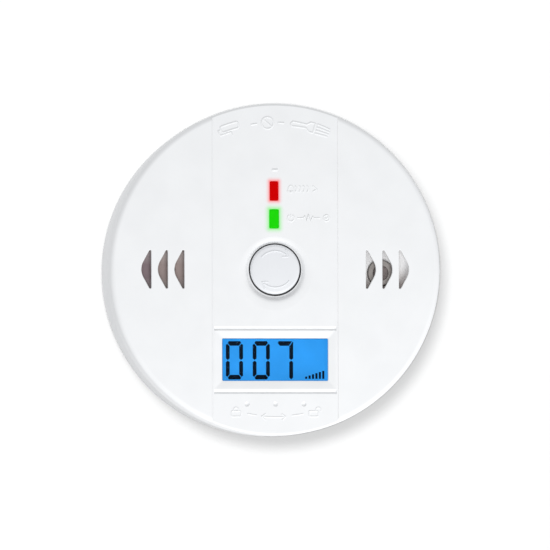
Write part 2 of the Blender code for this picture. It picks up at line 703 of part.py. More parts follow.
def main():
    clear_scene()
    mats = make_materials()
    detector = empty("detector_body")
    button = empty("button_body", detector)
    make_bracket(mats)
    make_rear_cover(mats, detector)
    make_front_cover(mats, detector)
    make_screws(mats, detector)
    make_cells(mats, detector)
    make_contacts(mats, detector)
    make_leads(mats, detector)
    make_board(mats, detector)
    make_board_parts(mats, detector)
    make_sensor(mats, detector)
    make_buzzer(mats, detector)
    make_lights(mats, detector)
    make_display(mats, detector)
    make_button(mats, detector, button)
    even_shading()


main()
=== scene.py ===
"""Carbon monoxide detector: the looks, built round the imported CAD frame.

Lengths are in millimetres until a mesh is made.  As in the CAD, "depth" is the distance out from
the wall (y = -depth), and angles are counter-clockwise as seen from the front.
"""
import math

import bmesh
import bpy
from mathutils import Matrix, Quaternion, Vector


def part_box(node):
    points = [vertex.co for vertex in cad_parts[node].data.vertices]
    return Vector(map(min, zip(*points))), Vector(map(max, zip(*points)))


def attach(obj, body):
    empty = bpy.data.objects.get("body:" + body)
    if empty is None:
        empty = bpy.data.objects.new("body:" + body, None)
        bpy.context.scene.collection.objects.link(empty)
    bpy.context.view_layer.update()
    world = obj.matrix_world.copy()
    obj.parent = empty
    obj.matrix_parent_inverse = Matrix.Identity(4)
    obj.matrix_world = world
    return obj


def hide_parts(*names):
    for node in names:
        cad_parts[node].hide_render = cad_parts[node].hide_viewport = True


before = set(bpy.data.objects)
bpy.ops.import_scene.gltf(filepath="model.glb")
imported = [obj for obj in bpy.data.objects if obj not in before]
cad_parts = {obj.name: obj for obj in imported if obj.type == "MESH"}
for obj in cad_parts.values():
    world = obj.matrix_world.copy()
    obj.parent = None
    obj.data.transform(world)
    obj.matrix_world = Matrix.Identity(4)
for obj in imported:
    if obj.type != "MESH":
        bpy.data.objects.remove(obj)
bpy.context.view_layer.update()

MM = 0.001
SIDES = 256                    # steps round the large turned pieces


class Box:
    """A CAD node's box in millimetres."""

    def __init__(self, node):
        low, high = (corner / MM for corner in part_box(node))
        self.near, self.far = -high.y, -low.y
        self.mid_x, self.mid_z = (low.x + high.x) / 2, (low.z + high.z) / 2
        self.width, self.height = high.x - low.x, high.z - low.z


# ---- places read from the frame ----

FRONT = Box("front_cover")
REAR = Box("rear_cover")
BRACKET = Box("mounting_bracket")
BUTTON = Box("test_button")
PANEL = Box("display_panel")
CAN = Box("sensor_can")
BUZZER = Box("buzzer_housing")
SHROUD = Box("sensor_shroud")
CASE_R = FRONT.width / 2
DEPTH = FRONT.far
REAR_R = REAR.width / 2
WALL = 2.0
INNER_FACE = DEPTH - WALL
SEAM = DEPTH - 13.0            # depth of the seam between the two covers
BAND_W = 39.5                  # the sunk strip from top to bottom
BAND = DEPTH - 0.35            # depth of the strip's surface
WINDOW_Z = PANEL.mid_z
DIGIT_Z = WINDOW_Z - 0.15

# ---- details that the frame has no box for ----

RIM_R = 1.7                    # rounding of the front rim
VENT_H, VENT_W, VENT_ARC_R = 12.05, 3.1, 5.2
VENT_NOSE, VENT_TIP_R = 0.68, 0.34
VENT_X = (28.6, 33.8, 39.0)    # the vents' straight edges, on both sides
VENT_MID = 35.4                # middle of each group of vents
VENT_SKIN = 1.2                # the wall is this thin round the vents
WINDOW = (33.35, 13.3)
BEZEL = (37.9, 18.1)           # where the window's sloping frame meets the strip
BEZEL_SINK = 0.6
GROOVE_Z = (-18.6, -38.4)
DIMPLES = [(k * 8.95, -42.2) for k in (-1, 0, 1)]
DIMPLE_SINK = 0.45
LIGHT_SIZE = {"alarm_light_pipe": (2.5, 5.9), "power_light_pipe": (2.8, 5.8)}
LIGHT_CORNER = 0.5
BUTTON_R, BUTTON_FLANGE_R = 7.8, 9.2
BUTTON_HOLE, BUTTON_HOLE_R = (0.06, -0.07), 8.2
DISH_SINK = 1.23
SCREW_ANGLES, SCREW_RING = (30.0, 150.0, 270.0), 45.2
POST_ANGLES, POST_RING = (90.0, 210.0, 330.0), 38.0
HOOK_SLOT = (44.7, 47.3, -26.5, 6.5)       # radii, and angles from the middle of a hook
HOOK_MOUTH = (42.4, 45.6, -26.5, -13.5)    # where the hooks' feet pass through
KEYHOLE_X, LEVEL_SLOT_Z = 33.0, 37.0
DIGITS = ((-12.55, "abcdef"), (-4.1, "abcdef"), (3.2, "ABC"))    # middles, lit segments
BAR_X, BAR_PITCH, BAR_W = 9.7, 1.08, 0.68
TOP_MARKS_R, TURN_MARKS_R = 45.9, 46.3
LIP_TURN = 72.0                # how far a rounded mouth turns before it leaves the surface


def point(x, depth, z):
    return Vector((x * MM, -depth * MM, z * MM))


def polar(radius, degrees):
    turn = math.radians(degrees)
    return radius * math.cos(turn), radius * math.sin(turn)


# ---- outlines ----

def circle(radius, sides, x=0.0, z=0.0):
    steps = [polar(radius, 360.0 * k / sides) for k in range(sides)]
    return [(x + px, z + pz) for px, pz in steps]


def rounded(width, height, radius, z=0.0, x=0.0, steps=6):
    corners = ((1, -1, -90), (1, 1, 0), (-1, 1, 90), (-1, -1, 180))
    outline = []
    for sx, sz, start in corners:
        cx = x + sx * (width / 2 - radius)
        cz = z + sz * (height / 2 - radius)
        for k in range(steps + 1):
            px, pz = polar(radius, start + 90.0 * k / steps)
            outline.append((cx + px, cz + pz))
    return outline


def vent(edge, side):
    """A D: a straight edge, and two straight flanks that run into a round bulge."""
    tip = VENT_H / 2 - VENT_TIP_R
    centre = VENT_W - VENT_ARC_R
    reach = math.hypot(VENT_NOSE - centre, tip)
    flank = math.degrees(math.atan2(tip, VENT_NOSE - centre) - math.acos(VENT_ARC_R / reach))
    bulge = [polar(VENT_ARC_R, -flank + 2 * flank * k / 24) for k in range(25)]
    shape = [(centre + x, z) for x, z in bulge]
    for end in (1, -1):
        round_tip = [polar(VENT_TIP_R, 30 + 150 * k / 6) for k in range(7)]
        if end < 0:
            round_tip = [(x, -z) for x, z in reversed(round_tip)]
        shape += [(VENT_TIP_R + x, end * tip + z) for x, z in round_tip]
    outline = [(edge + x, z) for x, z in shape]
    if side < 0:
        outline = [(-x, z) for x, z in reversed(outline)]
    return outline


def offset(outline, distance):
    """A closed counter-clockwise outline moved outwards by a distance."""
    count = len(outline)
    moved = []
    for i, (x, z) in enumerate(outline):
        before = Vector(outline[i - 1])
        after = Vector(outline[(i + 1) % count])
        here = Vector((x, z))
        a = (here - before).normalized()
        b = (after - here).normalized()
        out_a, out_b = Vector((a.y, -a.x)), Vector((b.y, -b.x))
        mid = (out_a + out_b).normalized()
        reach = distance / max(mid.dot(out_a), 0.4)
        moved.append((x + mid.x * reach, z + mid.y * reach))
    return moved


# ---- shapes ----

def loft(loops, closed=False):
    """A solid through loops of equal length: open ends get flat faces, a closed one is a ring."""
    count = len(loops[0])
    verts = [point(*p) for loop in loops for p in loop]
    faces = []
    total = len(loops)
    for k in range(total if closed else total - 1):
        a, b = k * count, (k + 1) % total * count
        for i in range(count):
            j = (i + 1) % count
            faces.append((a + i, a + j, b + j, b + i))
    if not closed:
        last = (total - 1) * count
        faces.append(tuple(reversed(range(count))))
        faces.append(tuple(range(last, last + count)))
    return verts, faces


def stepped(stages):
    return loft([[(x, d, z) for x, z in outline] for outline, d in stages])


def prism(outline, near, far):
    return stepped([(outline, near), (outline, far)])


def turned(profile, sides=SIDES, x=0.0, z=0.0, closed=False):
    loops = [[(px, d, pz) for px, pz in circle(r, sides, x, z)] for r, d in profile]
    return loft(loops, closed)


def swept_x(profile, x0, x1):
    """A (z, depth) cross-section carried along X."""
    return loft([[(x, d, z) for z, d in profile] for x in (x0, x1)])


def swept_z(profile, z0, z1):
    """An (x, depth) cross-section carried along Z."""
    return loft([[(x, d, z) for x, d in profile] for z in (z0, z1)])


def swept_arc(profile, first, last, steps):
    """A (radius, depth) cross-section carried round the Y axis."""
    loops = []
    for k in range(steps + 1):
        angle = first + (last - first) * k / steps
        loops.append([(polar(r, angle)[0], d, polar(r, angle)[1]) for r, d in profile])
    return loft(loops)


def quarter(radius, depth, size, steps, start=0.0, end=90.0):
    """Points of a round between the side (radius) and the front (depth)."""
    points = []
    for k in range(steps + 1):
        turn = math.radians(start + (end - start) * k / steps)
        points.append((radius - size + size * math.cos(turn),
                       depth - size + size * math.sin(turn)))
    return points


def lip(size, surface):
    """(offset, depth) pairs for the rounded mouth of a cut, from its wall up past the surface."""
    steps, clear, top = 5, 0.35, math.radians(LIP_TURN)
    low = size * (1 - math.sin(top))
    pairs = []
    for k in range(steps + 1):
        turn = math.radians(LIP_TURN * k / steps)
        pairs.append((size * (1 - math.cos(turn)), size * (1 - math.sin(turn))))
    side, drop = pairs[-1]
    pairs.append((side + clear * math.sin(top), drop - clear * math.cos(top)))
    return [(side, surface + low - drop) for side, drop in pairs]


def hole(outline, deep, surface, size):
    """A cutter through an outline, whose mouth at the surface is rounded."""
    mouth = [(offset(outline, side), depth) for side, depth in lip(size, surface)]
    return stepped([(outline, deep)] + mouth)


# ---- objects ----

def mesh_of(name, shapes):
    mesh = bpy.data.meshes.new(name)
    bm = bmesh.new()
    for verts, faces in shapes:
        made = [bm.verts.new(v) for v in verts]
        for face in faces:
            bm.faces.new([made[i] for i in face])
    bmesh.ops.recalc_face_normals(bm, faces=bm.faces)
    bm.to_mesh(mesh)
    bm.free()
    return mesh


def in_scene(name, data):
    obj = bpy.data.objects.new(name, data)
    bpy.context.scene.collection.objects.link(obj)
    return obj


def raw(name, shapes):
    return in_scene(name, mesh_of(name, shapes))


def carve(obj, operation, *groups):
    """Booleans a list of shapes into the object's mesh, one group after another."""
    for shapes in groups:
        tool = raw("tool", shapes)
        modifier = obj.modifiers.new("carve", "BOOLEAN")
        modifier.operation = operation
        modifier.solver = "EXACT"
        modifier.object = tool
        depsgraph = bpy.context.evaluated_depsgraph_get()
        mesh = bpy.data.meshes.new_from_object(obj.evaluated_get(depsgraph))
        obj.modifiers.clear()
        old, obj.data = obj.data, mesh
        for used in (old, tool.data):
            if used.users == 0:
                bpy.data.meshes.remove(used)
        bpy.data.objects.remove(tool)


def cut(obj, *groups):
    carve(obj, "DIFFERENCE", *groups)


def add(obj, *groups):
    carve(obj, "UNION", *groups)


def settle(obj, slot, body, nodes=(), angle=30.0):
    """Gives a piece its finish, its shading and the body that it rides on."""
    obj.data.materials.clear()
    obj.data.materials.append(FINISH[slot])
    if obj.type == "MESH":
        obj.data.polygons.foreach_set("material_index", [0] * len(obj.data.polygons))
        obj.data.shade_smooth()
        obj.data.set_sharp_from_angle(angle=math.radians(angle))
        even = obj.modifiers.new("even_shading", "WEIGHTED_NORMAL")
        even.keep_sharp = True
    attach(obj, body)
    if nodes:
        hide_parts(*nodes)
    return obj


def strokes(name, paths, radius, depth, slot, body):
    """Raised round lines: each path is (points, closed), with points of (x, z)."""
    curve = bpy.data.curves.new(name, "CURVE")
    curve.dimensions = "3D"
    curve.bevel_depth = radius * MM
    curve.bevel_resolution = 3
    curve.use_fill_caps = True
    for points, closed in paths:
        spline = curve.splines.new("POLY")
        spline.points.add(len(points) - 1)
        spline.use_cyclic_u = closed
        for target, (x, z) in zip(spline.points, points):
            target.co = (*point(x, depth, z), 1.0)
    settle(in_scene(name, curve), slot, body)


# ---- finishes ----

class Finish:
    """A Principled material with a node tree in the object's own coordinates."""

    def __init__(self, name, colour, roughness, metallic=0.0, **sockets):
        self.name = name
        self.material = bpy.data.materials.new(f"{name}_finish")
        self.material.use_nodes = True
        self.tree = self.material.node_tree
        self.shader = self.tree.nodes["Principled BSDF"]
        self.colour = colour
        self.roughness = roughness
        self.shader.inputs["Base Color"].default_value = (*colour, 1.0)
        self.shader.inputs["Roughness"].default_value = roughness
        self.shader.inputs["Metallic"].default_value = metallic
        for socket, value in sockets.items():
            self.shader.inputs[socket.replace("_", " ")].default_value = value
        self.place = self.node("ShaderNodeTexCoord").outputs["Object"]
        self.normal = None

    def node(self, kind, inputs=None, **settings):
        made = self.tree.nodes.new(kind)
        for key, value in settings.items():
            setattr(made, key, value)
        for key, value in (inputs or {}).items():
            if isinstance(value, bpy.types.NodeSocket):
                self.tree.links.new(value, made.inputs[key])
            else:
                made.inputs[key].default_value = value
        return made

    def axes(self):
        """The X, Y and Z of the object's coordinates, in metres."""
        return self.node("ShaderNodeSeparateXYZ", {"Vector": self.place}).outputs

    def math(self, operation, *values):
        made = self.node("ShaderNodeMath", dict(enumerate(values)), operation=operation)
        return made.outputs[0]

    def mapped(self, value, low, high, to_low, to_high, smooth=False):
        inputs = {"Value": value, "From Min": low, "From Max": high,
                  "To Min": to_low, "To Max": to_high}
        kind = "SMOOTHSTEP" if smooth else "LINEAR"
        return self.node("ShaderNodeMapRange", inputs, interpolation_type=kind).outputs["Result"]

    def away(self, length, place):
        """How far a length in metres is from a place in millimetres, in metres."""
        return self.math("ABSOLUTE", self.math("SUBTRACT", length, place * MM))

    def ramp(self, length, low, high, to_low, to_high):
        """Maps a length in metres, between two limits in millimetres."""
        return self.mapped(length, low * MM, high * MM, to_low, to_high)

    def noise(self, size, detail=3.0, stretch=(1.0, 1.0, 1.0)):
        """Noise whose features are about that many millimetres across."""
        place = self.node("ShaderNodeMapping", {"Vector": self.place, "Scale": stretch})
        inputs = {"Vector": place.outputs[0], "Scale": 1.0 / (size * MM), "Detail": detail,
                  "Roughness": 0.5}
        return self.node("ShaderNodeTexNoise", inputs).outputs["Fac"]

    def mix(self, factor, a, b):
        """Mixes two colours, which are sockets or (r, g, b)."""
        made = self.node("ShaderNodeMix", {0: factor}, data_type="RGBA", blend_type="MIX")
        for index, value in ((6, a), (7, b)):
            if isinstance(value, bpy.types.NodeSocket):
                self.tree.links.new(value, made.inputs[index])
            else:
                made.inputs[index].default_value = (*value, 1.0)
        return made.outputs[2]

    def to(self, socket, value):
        self.tree.links.new(value, self.shader.inputs[socket])
        return self

    def tint(self, other, size, low=0.3, high=0.7, **noise):
        """Drifts the base colour towards another one."""
        factor = self.mapped(self.noise(size, **noise), low, high, 0.0, 1.0)
        self.base = self.mix(factor, self.colour, other)
        return self.to("Base Color", self.base)

    def wear(self, spread, size, **noise):
        """Varies the roughness by plus or minus spread."""
        value = self.mapped(self.noise(size, **noise), 0.25, 0.75,
                            self.roughness - spread, self.roughness + spread)
        return self.to("Roughness", value)

    def bump(self, height, lift):
        """Adds a height field, with lift the height of its full range in millimetres."""
        inputs = {"Height": height, "Distance": lift * MM, "Strength": 1.0}
        if self.normal is not None:
            inputs["Normal"] = self.normal
        self.normal = self.node("ShaderNodeBump", inputs).outputs["Normal"]
        return self.to("Normal", self.normal)

    def grain(self, size, lift, **noise):
        return self.bump(self.noise(size, **noise), lift)


def plastic(name, colour, roughness, grain=0.12, lift=0.012, shade=0.97, **sockets):
    """A moulded plastic: fine spark texture, slow change of gloss, slightly uneven colour."""
    made = Finish(name, colour, roughness, **sockets)
    darker = tuple(part * shade for part in colour)
    made.tint(darker, 9.0, detail=2.0).wear(0.05, 6.0, detail=4.0)
    return made.grain(grain, lift, detail=2.0)


def metal(name, colour, roughness, stretch=(1.0, 1.0, 1.0), size=0.3, lift=0.006):
    """A plated or drawn metal with fine directional lines and stains."""
    made = Finish(name, colour, roughness, 1.0)
    darker = tuple(part * 0.75 for part in colour)
    made.tint(darker, 3.0, detail=4.0).wear(0.1, 1.5, detail=5.0)
    return made.grain(size, lift, stretch=stretch)


def distance_to(made, x, z, half_w=0.0, half_h=0.0):
    """Distance in metres, across the face, from an upright rectangle."""
    axes = made.axes()
    gaps = []
    for axis, centre, half in (("X", x, half_w), ("Z", z, half_h)):
        past = made.math("SUBTRACT", made.away(axes[axis], centre), half * MM)
        gaps.append(made.math("MAXIMUM", past, 0.0))
    squares = [made.math("MULTIPLY", gap, gap) for gap in gaps]
    return made.math("SQRT", made.math("ADD", *squares))


# painted shade: the near-black colour painted into the gap round the test button
GAP_SHADE = (0.09, 0.09, 0.095)


def painted_lamp_glow(made, base):
    """Painted lamp light: each lamp's colour painted into the plastic round its window, and given
    off there as a painted glow.
    """
    glow = (0.0, 0.0, 0.0)
    for node, colour, reach in (("alarm_light_pipe", (0.95, 0.03, 0.035), 1.7),
                                ("power_light_pipe", (0.10, 0.80, 0.06), 2.1)):
        width, height = LIGHT_SIZE[node]
        pipe = Box(node)
        away = distance_to(made, pipe.mid_x, pipe.mid_z, width / 2, height / 2)
        near = made.ramp(away, 0.0, reach, 1.0, 0.0)
        near = made.math("MULTIPLY", made.math("POWER", near, 2.0), 0.85)
        base = made.mix(near, base, colour)
        glow = made.mix(near, glow, colour)
    return base, glow


def button_painted_shade(made, base, z):
    """Painted shade on the dish's lower slope, and painted shade in the gap round the button."""
    from_button = distance_to(made, 0.0, 0.0)
    low = made.ramp(z, -3.0, -8.0, 0.0, 1.0)
    # painted shade: the dish's lower slope darkened towards grey
    lower_dish_shade = made.math("MULTIPLY", made.ramp(from_button, 8.4, 9.0, 0.0, 0.33),
                     made.ramp(from_button, 9.55, 10.6, 1.0, 0.0))
    base = made.mix(made.math("MULTIPLY", low, lower_dish_shade), base, (0.45, 0.45, 0.46))
    # painted shade: the wall of the gap round the button darkened nearly black
    gap = made.ramp(distance_to(made, *BUTTON_HOLE), BUTTON_HOLE_R + 0.02, BUTTON_HOLE_R + 0.1,
                    1.0, 0.0)
    return made.mix(gap, base, GAP_SHADE)


def strip_edge_shade_and_highlight(made, base, x):
    """Painted shade along the strip's left edge, and a painted highlight along its right edge."""
    # the left edge is painted darker as shade, the right edge painted paler as a highlight
    for place, near, far, amount, colour in (
            (-0.05 - BAND_W / 2, 0.1, 0.55, 0.12, (0.55, 0.55, 0.56)),
            (0.02 + BAND_W / 2, 0.1, 0.2, 0.5, (0.97, 0.97, 0.97))):
        base = made.mix(made.ramp(made.away(x, place), near, far, amount, 0.0), base, colour)
    return base


def vent_wall_shade(made, base, x, y, z):
    """Painted shade on the walls of the vents, below their rounded mouths."""
    aside = made.away(made.math("ABSOLUTE", x), VENT_MID)
    above = made.math("ADD", made.math("ABSOLUTE", z), 1.0 * MM)
    in_vent = made.math("MULTIPLY",
                        made.ramp(made.math("MAXIMUM", aside, above), 7.4, 7.5, 1.0, 0.0),
                        made.ramp(y, 0.3 - DEPTH, 0.45 - DEPTH, 0.0, 1.0))
    # painted shade: the vents' walls darkened
    return made.mix(in_vent, base, (0.72, 0.70, 0.70))


def white_casing():
    """The casing's plastic, with painted lamp light round the lamps' windows, painted shade round
    the button, at the strip's left edge and on the vents' walls, and a painted highlight on the
    strip's right edge.
    """
    made = plastic("white_casing", (0.865, 0.875, 0.885), 0.42)
    # painted lamp light: lamp colours painted round the windows, with a painted glow there
    base, glow = painted_lamp_glow(made, made.base)
    x, y, z = made.axes()
    base = button_painted_shade(made, base, z)
    base = strip_edge_shade_and_highlight(made, base, x)
    base = vent_wall_shade(made, base, x, y, z)
    # the painted glow round the lamps' windows is given off as emission
    made.to("Base Color", base).to("Emission Color", glow)
    made.shader.inputs["Emission Strength"].default_value = 0.12
    return made


def button_plastic():
    """The button's plastic, with painted shade down its side, where it sits in the gap."""
    made = plastic("white_button", (0.805, 0.82, 0.845), 0.38, grain=0.1, lift=0.01)
    side = made.ramp(made.axes()["Y"], 1.2 - BUTTON.far, 1.4 - BUTTON.far, 0.0, 1.0)
    # painted shade: the button's side, down in the gap, darkened nearly black
    return made.to("Base Color", made.mix(side, made.base, GAP_SHADE))


def shroud_plastic():
    """The sensor's holder, browner and darker towards its lower side."""
    made = plastic("shroud_plastic", (0.92, 0.92, 0.925), 0.5, 0.2, 0.015)
    low = made.math("POWER", made.ramp(made.axes()["Z"], 1.2, -4.8, 0.0, 1.0), 1.4)
    return made.to("Base Color", made.mix(low, made.base, (0.66, 0.60, 0.575)))


def buzzer_plastic():
    """The sounder's housing, darker towards the rim of the casing, with painted light making it
    paler up and down, where light falls in through the vents.
    """
    made = plastic("buzzer_plastic", (0.33, 0.26, 0.245), 0.5, 0.15, 0.02, shade=0.85)
    x, _, z = made.axes()
    base = made.mix(made.ramp(x, -37.0, -39.5, 0.0, 1.0), made.base, (0.215, 0.16, 0.175))
    # painted light: the housing made paler towards its top and bottom
    painted_light_ends = made.math("MAXIMUM", made.ramp(z, 1.5, 7.0, 0.0, 0.6),
                     made.ramp(z, -2.5, -6.0, 0.0, 0.4))
    return made.to("Base Color", made.mix(painted_light_ends, base, (0.66, 0.62, 0.60)))


def circuit():
    """Solder mask with tracks, pads and vias under it."""
    made = Finish("green_board", (0.012, 0.12, 0.045), 0.32, Coat_Weight=0.4,
                  Coat_Roughness=0.2)
    grid = made.node("ShaderNodeTexBrick",
                     {"Vector": swap_to_face(made), "Scale": 330.0, "Mortar Size": 0.05,
                      "Brick Width": 1.9, "Row Height": 0.42, "Color1": (0, 0, 0, 1),
                      "Color2": (0.35, 0.35, 0.35, 1), "Mortar": (1, 1, 1, 1)})
    tracks = made.math("MULTIPLY", grid.outputs["Color"],
                       made.mapped(made.noise(7.0, detail=1.0), 0.48, 0.56, 0.0, 1.0))
    mask = made.mix(tracks, made.colour, (0.045, 0.27, 0.10))
    made.to("Base Color", mask)
    return made.bump(tracks, 0.03).grain(0.4, 0.004)


def swap_to_face(made):
    """Coordinates with the face of the object in their XY plane."""
    x, y, z = made.axes()
    return made.node("ShaderNodeCombineXYZ", {"X": x, "Y": z, "Z": y}).outputs[0]


def woven():
    """Steel gauze: two sets of wires that pass over and under each other."""
    made = Finish("steel_gauze", (0.30, 0.26, 0.25), 0.5, 0.4)
    axes = made.axes()
    pitch = 0.34 * MM
    waves = []
    for axis in ("X", "Z"):
        turn = made.math("MULTIPLY", axes[axis], math.tau / pitch)
        waves.append(made.math("ABSOLUTE", made.math("SINE", turn)))
    weave = made.math("MAXIMUM", *waves)
    holes = made.mapped(weave, 0.55, 0.8, 0.0, 1.0, smooth=True)
    made.to("Base Color", made.mix(holes, (0.11, 0.09, 0.088), (0.36, 0.31, 0.30)))
    return made.bump(weave, 0.12)


def sleeve():
    """A cell's shrink sleeve: dark, with a coppered band round the positive end."""
    made = Finish("cell_sleeve", (0.022, 0.026, 0.03), 0.3, Coat_Weight=0.5)
    x, _, z = made.axes()
    outer_cell = made.math("GREATER_THAN", made.math("ABSOLUTE", x), 7.6 * MM)
    up = made.math("SUBTRACT", made.math("MULTIPLY", outer_cell, 2.0), 1.0)
    band = made.ramp(made.math("MULTIPLY", z, up), 12.4, 12.6, 0.0, 1.0)
    end = made.ramp(made.math("ABSOLUTE", z), 24.6, 24.8, 0.0, 1.0)
    colour = made.mix(band, made.colour, (0.55, 0.24, 0.07))
    made.to("Base Color", made.mix(end, colour, (0.55, 0.55, 0.55)))
    return made.wear(0.06, 2.0).grain(0.5, 0.01)


def lit(name, colour, strength, roughness=0.12, body=0.45, mottle=1.2):
    """A glowing clear moulding, a little uneven like a diffused lamp."""
    made = Finish(name, tuple(part * body for part in colour), roughness,
                  Specular_IOR_Level=0.02)
    bright = tuple(part * 1.12 for part in colour)
    factor = made.mapped(made.noise(mottle, detail=2.0), 0.35, 0.65, 0.0, 1.0)
    made.glow = made.mix(factor, colour, bright)
    made.to("Emission Color", made.glow)
    made.shader.inputs["Emission Strength"].default_value = strength
    return made.grain(0.3, 0.01)


def display_glass(blue):
    """The backlit panel, with a dark line where the window's edge shades it."""
    made = lit("display_glass", blue, 0.80, 0.3, 0.12, mottle=11.0)
    half_w, half_h = WINDOW[0] / 2 - 0.2, WINDOW[1] / 2 - 0.24
    away = distance_to(made, 0.3, WINDOW_Z, half_w, half_h)
    edge = made.ramp(away, 0.02, 0.16, 0.0, 0.8)
    return made.to("Emission Color", made.mix(edge, made.glow, (0.03, 0.16, 0.33)))


def make_finishes():
    along_y = (1.0, 0.15, 1.0)
    red, green, blue = (0.60, 0.0, 0.0), (0.012, 0.665, 0.003), (0.034, 0.347, 0.922)
    made = [
        white_casing(),
        plastic("white_bracket", (0.82, 0.83, 0.835), 0.5, grain=0.2, lift=0.02),
        button_plastic(),
        metal("plated_steel", (0.60, 0.61, 0.62), 0.32, along_y),
        metal("nickel_contact", (0.70, 0.685, 0.65), 0.27),
        sleeve(),
        plastic("red_lead", (0.55, 0.015, 0.01), 0.42, 0.3, 0.02),
        plastic("black_lead", (0.014, 0.014, 0.015), 0.42, 0.3, 0.02),
        circuit(),
        plastic("black_package", (0.018, 0.018, 0.02), 0.55, 0.08, 0.02, shade=0.7),
        plastic("capacitor_sleeve", (0.02, 0.022, 0.05), 0.3, 0.5, 0.01, shade=0.8),
        plastic("ferrite", (0.05, 0.046, 0.042), 0.65, 0.15, 0.03, shade=0.7),
        plastic("sensor_header", (0.34, 0.33, 0.31), 0.45, 0.2, 0.01),
        shroud_plastic(),
        metal("sensor_can_steel", (0.43, 0.40, 0.38), 0.45, along_y, 0.25),
        woven(),
        buzzer_plastic(),
        metal("brass_disc", (0.70, 0.50, 0.22), 0.33),
        lit("red_led", red, 1.0),
        lit("green_led", green, 1.0),
        lit("red_light_pipe", red, 0.55),
        lit("green_light_pipe", green, 0.55),
        plastic("display_holder_white", (0.76, 0.77, 0.77), 0.5, 0.2, 0.015),
        lit("light_guide", blue, 0.8, 0.3),
        display_glass(blue),
        plastic("contact_rubber", (0.06, 0.06, 0.065), 0.75, 0.15, 0.03, shade=0.8),
        plastic("switch_plunger_black", (0.022, 0.022, 0.022), 0.4, 0.2, 0.01),
    ]
    lens = Finish("clear_lens", (0.98, 0.99, 1.0), 0.0, Transmission_Weight=1.0, IOR=1.02)
    lens.grain(6.0, 0.002)
    ink = Finish("display_ink", (0.002, 0.004, 0.008), 0.6, Specular_IOR_Level=0.0)
    ink.tint((0.003, 0.008, 0.016), 2.0)
    ink.shader.inputs["Emission Color"].default_value = (0.0028, 0.0052, 0.010, 1.0)
    ink.shader.inputs["Emission Strength"].default_value = 1.0
    return {item.name: item.material for item in made + [lens, ink]}


FINISH = make_finishes()


# ---- casing ----

def ring_of(profile, sides, radius, angles):
    """The same turned shape at several places round the centre of the face."""
    return [turned(profile, sides, *polar(radius, angle)) for angle in angles]


def fillet(reach, floor, size, steps):
    """The rounding from a floor up to the wall that stands at its edge."""
    turns = [math.radians(90.0 * k / steps) for k in range(steps + 1)]
    return [(reach - size + size * math.sin(turn), floor + size - size * math.cos(turn))
            for turn in turns]


def rounded_trough(half, floor, surface, mouth, foot):
    """Half a cross-section of a wide cut: a small fillet at its foot and a rounded mouth."""
    return fillet(half, floor, foot, 3) + [(half + out, depth) for out, depth in
                                           lip(mouth, surface)]


def mirrored(side):
    """A whole cross-section from its positive half, which runs from floor to surface."""
    return [(-a, b) for a, b in reversed(side)] + side


def bezel_cutter():
    """The sloping, mitred frame round the display window, with softened edges."""
    low, top = BAND - BEZEL_SINK, BAND
    stages = [(WINDOW, INNER_FACE - 1.0), (WINDOW, low - 0.12)]
    for share in (0.03, 0.5, 0.9):
        size = [a + (b - a) * share for a, b in zip(WINDOW, BEZEL)]
        stages.append((size, low + (top - low) * share))
    stages.append(([side + 0.12 for side in BEZEL], top - 0.035))
    stages.append(([side + 1.1 for side in BEZEL], top + 0.16))
    return stepped([(rounded(*size, 0.35, WINDOW_Z, steps=3), depth) for size, depth in stages])


def dish_cutter():
    """The button's hole and the soft dish round it, whose long slope is on the lower side."""
    floor = BAND - DISH_SINK
    x, z = BUTTON_HOLE
    rings = [(circle(BUTTON_HOLE_R + out, 160, x, z), depth)
             for out, depth in ((0.0, INNER_FACE - 1.0), (0.0, floor - 0.2), (0.05, floor - 0.06))]
    slope = ((8.42, 8.38, 0.0), (8.72, 8.46, 0.02), (9.10, 8.70, 0.32), (9.48, 8.95, 0.62),
             (9.68, 9.08, 0.77), (9.88, 9.18, 0.87), (10.1, 9.28, 0.935), (10.5, 9.42, 1.01),
             (11.0, 9.6, 1.085), (11.5, 9.8, 1.135), (12.1, 10.0, 1.18), (12.7, 10.25, 1.215),
             (13.2, 10.5, 1.26))
    rings += [(circle((low + high) / 2, 160, 0.0, (high - low) / 2), floor + rise)
              for low, high, rise in slope]
    return stepped(rings)


def groove_cutter(z):
    """A shallow groove across the strip: a long upper slope and a short lower wall."""
    section = [(-0.80, -0.15), (-0.60, 0.0), (-0.52, 0.12), (-0.44, 0.38), (-0.36, 0.50),
               (-0.22, 0.55), (0.0, 0.50), (0.3, 0.33), (0.55, 0.14), (0.75, 0.02), (1.0, -0.1)]
    side = [(z + up, BAND - drop) for up, drop in section]
    side += [(z + 1.0, BAND + 1.0), (z - 0.8, BAND + 1.0)]
    reach = BAND_W / 2 - 0.5
    return swept_x(side, -reach, reach)


def dimple_cutter(x, z):
    profile = []
    for k in range(7):
        turn = math.pi / 2 * (k / 6)
        profile.append((0.05 + 0.72 * math.sin(turn),
                        BAND - DIMPLE_SINK * math.cos(turn) ** 0.9 - 0.03))
    profile += [(0.80, BAND), (0.95, BAND + 0.12)]
    return turned(profile, 28, x, z)


